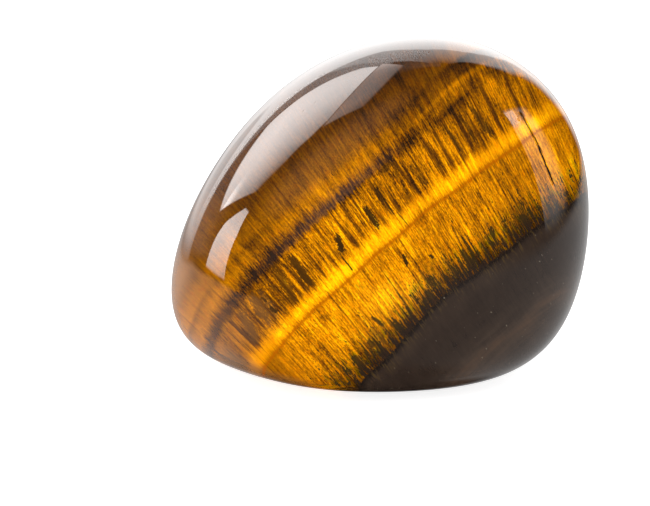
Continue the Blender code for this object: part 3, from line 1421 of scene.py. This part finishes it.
@dataclass(frozen=True)
class Studio:
    """The table, the light and the camera.

    Polished surfaces see a painted room in place of an even one. Its parts are given in degrees
    of turn, round from the camera's side, and of lift above the table.
    """

    aim: Vector = field(default_factory=lambda: Vector((0.30, 0.33, 10.95)) * MM)
    camera_lift: float = 15.0
    camera_distance: float = 0.25
    frame_width: float = 46.33 * MM
    sensor_width: float = 36.0
    right_of_middle: float = 4.205 * MM
    above_middle: float = 2.21 * MM
    table_size: float = 4.0
    ambient: float = 0.92
    table_tone: float = 0.95
    table_glow: float = 0.62
    table_seen_glow: float = 0.20
    table_roughness: float = 0.9
    cards: tuple[Card, ...] = (
        Card(
            "key_softbox_lip", -112.0, 38.0, 1010.0, 3.2,
            (
                Edge(-144.5, 58.0, 24.0), Edge(-90.0, -378.0, 14.0), Edge(40.0, 488.0, 20.0),
                Edge(91.0, 592.0, 44.0),
            ),
            across=((-520.0, 0.45), (-300.0, 0.85), (0.0, 0.85), (150.0, 1.0), (290.0, 1.6)),
            upward=((380.0, 1.1), (480.0, 1.0), (560.0, 0.75), (600.0, 0.4)),
            tint=(1.0, 0.86, 0.81),
        ),
        Card(
            "key_softbox", -112.0, 38.0, 1000.0, 9.4,
            (
                Edge(11.0, 394.0, 16.0), Edge(37.0, 440.0, 12.0), Edge(90.0, 369.0, 8.0),
                Edge(143.0, 462.0, 44.0), Edge(180.0, 402.0, 70.0), Edge(-135.0, 287.0, 24.0),
                Edge(-52.6, 380.0, 44.0),
            ),
            across=(
                (-460.0, 0.16), (-400.0, 0.20), (-350.0, 0.30), (-300.0, 0.44), (-250.0, 0.55),
                (-200.0, 0.66), (-100.0, 0.84), (0.0, 0.98), (150.0, 1.0), (240.0, 0.94), (340.0, 0.82),
                (420.0, 0.72),
            ),
            upward=(
                (-450.0, 0.66), (-300.0, 0.74), (-200.0, 0.82), (-100.0, 0.92), (0.0, 1.0), (300.0, 0.95),
            ),
        ),
        Card(
            "key_lamp", -112.0, 38.0, 990.0, 11.5,
            (
                Edge(0.0, 10.0, 24.0), Edge(90.0, -190.0, 220.0), Edge(180.0, 90.0, 110.0),
                Edge(-135.0, 281.0, 24.0),
            ),
        ),
        Card(
            "left_window", -95.0, 6.0, 1000.0, 8.3,
            (
                Edge(24.2, 137.0, 14.0), Edge(31.0, 129.0, 14.0), Edge(46.0, 150.0, 16.0),
                Edge(88.0, 392.0, 24.0), Edge(181.0, 308.0, 16.0), Edge(196.0, 262.0, 14.0),
                Edge(201.0, 264.0, 14.0), Edge(-78.0, 358.0, 44.0),
            ),
            upward=(
                (-390.0, 0.34), (-180.0, 0.66), (0.0, 0.94), (120.0, 1.06), (300.0, 1.0), (390.0, 0.9),
            ),
        ),
        Card(
            "right_window", 83.0, 8.0, 1000.0, 1.6,
            (
                Edge(-24.0, 215.0, 14.0), Edge(91.0, 205.0, 50.0), Edge(146.0, 240.0, 160.0),
                Edge(-89.0, 262.0, 70.0),
            ),
            across=((-450.0, 0.4), (-250.0, 0.7), (-120.0, 1.0), (60.0, 0.85), (200.0, 1.0)),
            upward=(
                (-260.0, 0.7), (-190.0, 0.95), (-140.0, 0.75), (-60.0, 0.75), (0.0, 0.85), (100.0, 1.1),
                (200.0, 1.25),
            ),
        ),
        Card(
            "right_lamp", 83.0, 8.0, 990.0, 5.4,
            (
                Edge(-24.0, 213.0, 14.0), Edge(88.0, 203.0, 16.0), Edge(180.0, -128.0, 30.0),
                Edge(-86.0, -58.0, 40.0),
            ),
        ),
    )
    # the painted room: the edges of its parts, and how brightly each part glows
    sweep_right: Stops = (
        (-8.0, 158.0), (10.0, 150.0), (20.0, 142.0), (30.0, 131.0), (50.0, 121.0), (62.0, 122.0),
        (75.0, 128.0),
    )
    sweep_left: Stops = (
        (8.0, 139.0), (20.0, 146.0), (30.0, 150.0), (42.0, 148.0), (52.0, 143.0), (58.0, 142.5),
        (75.0, 143.0),
    )
    strip_glow: Stops = (
        (-8.0, 0.0), (0.0, 0.4), (15.0, 0.7), (27.0, 1.0), (35.0, 1.2), (42.0, 1.7), (50.0, 2.1),
        (57.0, 2.2), (60.0, 0.0),
    )
    sweep_glow: Stops = (
        (0.0, 1.4), (15.0, 2.0), (35.0, 2.6), (50.0, 2.8), (62.0, 2.3), (72.0, 1.6), (78.0, 0.8),
        (84.0, 0.0),
    )
    patch_left: Stops = (
        (0.0, 43.0), (8.0, 41.0), (15.0, 38.0), (27.0, 32.0), (33.0, 27.0), (36.0, 18.0), (45.0, 14.0),
        (51.0, 6.0),
    )
    patch_right: Stops = (
        (0.0, 20.0), (12.0, 22.0), (25.0, 27.0), (40.0, 27.0), (48.0, 20.0), (51.0, 6.0),
    )
    patch_glow: Stops = (
        (-12.0, 0.0), (-4.0, 1.3), (5.0, 2.4), (15.0, 3.4), (25.0, 4.2), (38.0, 4.9), (49.0, 5.0),
        (52.0, 0.0),
    )
    floor_top: Stops = (
        (-180.0, -8.0), (-130.0, -11.0), (-110.0, -15.0), (-95.0, -17.5), (-75.0, -21.0), (-30.0, -21.0),
        (0.0, -14.0), (40.0, -10.0), (180.0, -8.0),
    )
    floor_bottom: Stops = (
        (-180.0, -24.0), (-165.0, -34.0), (-155.0, -42.0), (-145.0, -47.0), (-135.0, -50.0),
        (-90.0, -50.0), (-60.0, -44.0), (-30.0, -36.0), (0.0, -40.0), (60.0, -62.0), (90.0, -70.0),
        (140.0, -66.0), (155.0, -52.0), (165.0, -40.0), (180.0, -26.0),
    )
    floor_glow: Stops = (
        (-180.0, 0.56), (-150.0, 0.52), (-95.0, 0.46), (-75.0, 0.34), (-50.0, 0.20), (-30.0, 0.06),
        (-20.0, 0.0), (15.0, 0.0), (30.0, 0.12), (45.0, 0.22), (75.0, 0.40), (105.0, 0.52), (150.0, 0.58),
        (180.0, 0.60),
    )
    lights: tuple[SoftLight, ...] = (
        SoftLight("front_fill", -35.0, 45.0, 1.2, 1.4, 0.85),
    )
    sweep_edge_right: Span = (-4.0, 7.0)
    sweep_edge_left: Span = (2.0, -3.0)
    sweep_foot: Span = (-12.0, -4.0)
    patch_edge_left: Span = (2.0, -2.0)
    patch_edge_right: Span = (4.0, -4.0)
    hollow: Oval = Oval(-154.0, 1.0, 7.0, 9.0, 0.25)
    hollow_depth: float = 0.6
    floor_top_edge: Span = (1.5, -1.5)
    floor_bottom_edge: Span = (-9.0, 9.0)
    dim_turn: Span = (-95.0, -125.0, 0.0, 0.3)
    dim_lift: Span = (-10.0, -4.0)
    strip_edge: Span = (-138.0, -141.0)
    veil: Oval = Oval(-40.0, 44.0, 22.0, 14.0, 0.6)
    veil_glow: float = 0.25

    def build(self) -> None:
        """Set everything up."""
        self.table()
        self.surroundings()
        for piece in (*self.cards, *self.lights):
            piece.build(self.aim)
        self.camera()

    def table(self) -> None:
        """Lay the white, lit table top. What shows of it in the stone is part of the surroundings."""
        bpy.ops.object.select_all(action="DESELECT")
        bpy.ops.mesh.primitive_plane_add(size=self.table_size, location=(0.0, 0.0, 0.0))
        table = bpy.context.active_object
        table.name = "table"
        material, graph = new_material("white_table")
        paths = graph.node("ShaderNodeLightPath")
        seen = graph.times(paths.outputs["Is Camera Ray"], self.table_seen_glow)
        values = {
            "Base Color": (self.table_tone, self.table_tone, self.table_tone, 1.0),
            "Emission Color": WHITE,
            "Emission Strength": graph.plus(seen, self.table_glow),
            "Roughness": self.table_roughness,
            "Specular IOR Level": 0.0,
        }
        graph.fill(material.node_tree.nodes["Principled BSDF"], values)
        table.data.materials.append(material)
        table.visible_glossy = False

    def surroundings(self) -> None:
        """Light the room evenly, and give polished surfaces a room with bright and dark parts."""
        world = bpy.data.worlds.new("studio")
        bpy.context.scene.world = world
        world.use_nodes = True
        graph = Graph(world.node_tree)
        place = graph.node("ShaderNodeTexCoord")
        x, y, z = graph.split(place.outputs["Generated"])
        lift = graph.times(graph.math("ARCSINE", z), 180 / pi)
        turn = graph.times(graph.math("ARCTAN2", x, graph.times(y, -1.0)), 180 / pi)
        shine = graph.most(self.wall(graph, turn, lift), self.floor_shine(graph, turn, lift))
        shine = graph.most(shine, self.dim_shine(graph, turn, lift))
        paths = graph.node("ShaderNodeLightPath")
        tone = graph.times(graph.minus(shine, self.ambient), paths.outputs["Is Glossy Ray"])
        tone = graph.plus(tone, self.ambient)
        rest = graph.times(graph.minus(1.0, self.ambient), paths.outputs["Is Camera Ray"])
        graph.fill(world.node_tree.nodes["Background"], {"Color": WHITE, "Strength": graph.plus(tone, rest)})
        bpy.context.scene.view_settings.view_transform = "Standard"

    def wall(self, graph: Graph, turn: Socket, lift: Socket) -> Socket:
        """Return how brightly the white sweep behind the stone shows in it.

        A dim sweep reaches round to both sides, and a bright patch of it stands straight behind.

        Args:
            graph: the nodes to add to.
            turn: degrees round from the camera's side.
            lift: degrees above the table.

        Returns:
            The glow that polished surfaces see.
        """
        past_right = graph.minus(turn, graph.profile(lift, self.sweep_right))
        past_left = graph.plus(turn, graph.profile(lift, self.sweep_left))
        right = graph.fade(past_right, *self.sweep_edge_right)
        sweep = graph.most(right, graph.fade(past_left, *self.sweep_edge_left))
        sweep = graph.times(sweep, graph.fade(lift, *self.sweep_foot))
        sweep = graph.times(sweep, graph.profile(lift, self.sweep_glow))
        from_left = graph.minus(graph.plus(turn, 180.0), graph.profile(lift, self.patch_left))
        from_right = graph.minus(graph.minus(180.0, turn), graph.profile(lift, self.patch_right))
        left = graph.fade(from_left, *self.patch_edge_left)
        patch = graph.most(left, graph.fade(from_right, *self.patch_edge_right))
        patch = graph.times(patch, graph.profile(lift, self.patch_glow))
        patch = graph.times(patch, graph.minus(1.0, self.hollow.mask(graph, turn, lift), self.hollow_depth))
        return graph.most(sweep, patch)

    def floor_shine(self, graph: Graph, turn: Socket, lift: Socket) -> Socket:
        """Return how brightly the table shows in the stone: lit behind it, shaded in front.

        Args:
            graph: the nodes to add to.
            turn: degrees round from the camera's side.
            lift: degrees above the table.

        Returns:
            The glow that polished surfaces see.
        """
        over = graph.fade(graph.minus(lift, graph.profile(turn, self.floor_top)), *self.floor_top_edge)
        under = graph.minus(lift, graph.profile(turn, self.floor_bottom))
        seen = graph.times(over, graph.fade(under, *self.floor_bottom_edge))
        return graph.times(seen, graph.profile(turn, self.floor_glow))

    def dim_shine(self, graph: Graph, turn: Socket, lift: Socket) -> Socket:
        """Return the faint light of the room on the left.

        Args:
            graph: the nodes to add to.
            turn: degrees round from the camera's side.
            lift: degrees above the table.

        Returns:
            The glow that polished surfaces see.
        """
        left = graph.times(graph.fade(turn, *self.dim_turn), graph.fade(lift, *self.dim_lift))
        strip = graph.times(graph.fade(turn, *self.strip_edge), graph.profile(lift, self.strip_glow))
        veil = graph.times(self.veil.mask(graph, turn, lift), self.veil_glow)
        return graph.most(graph.most(left, strip), veil)

    def camera(self) -> None:
        """Place a long lens in front of the stone, a little above it."""
        lens = bpy.data.cameras.new("camera")
        lens.sensor_width = self.sensor_width
        lens.lens = self.sensor_width * self.camera_distance / self.frame_width
        lens.dof.use_dof = False
        away = toward(0.0, self.camera_lift)
        right = Vector((1.0, 0.0, 0.0))
        up = away.cross(right)
        middle = self.aim - right * self.right_of_middle - up * self.above_middle
        camera = bpy.data.objects.new("camera", lens)
        camera.location = middle + away * self.camera_distance
        camera.rotation_euler = away.to_track_quat("Z", "Y").to_euler()
        bpy.context.scene.collection.objects.link(camera)
        bpy.context.scene.camera = camera


def main() -> None:
    """Build the stone and the studio, and log the stone's number of faces."""
    logging.basicConfig(level=logging.INFO)
    make_streak_group()
    make_lens_group()
    stone = Stone().build()
    LOG.info("%s: %d faces", stone.name, len(stone.data.polygons))
    Studio().build()
    LOG.info("studio ready")


if __name__ == "__main__":
    main()
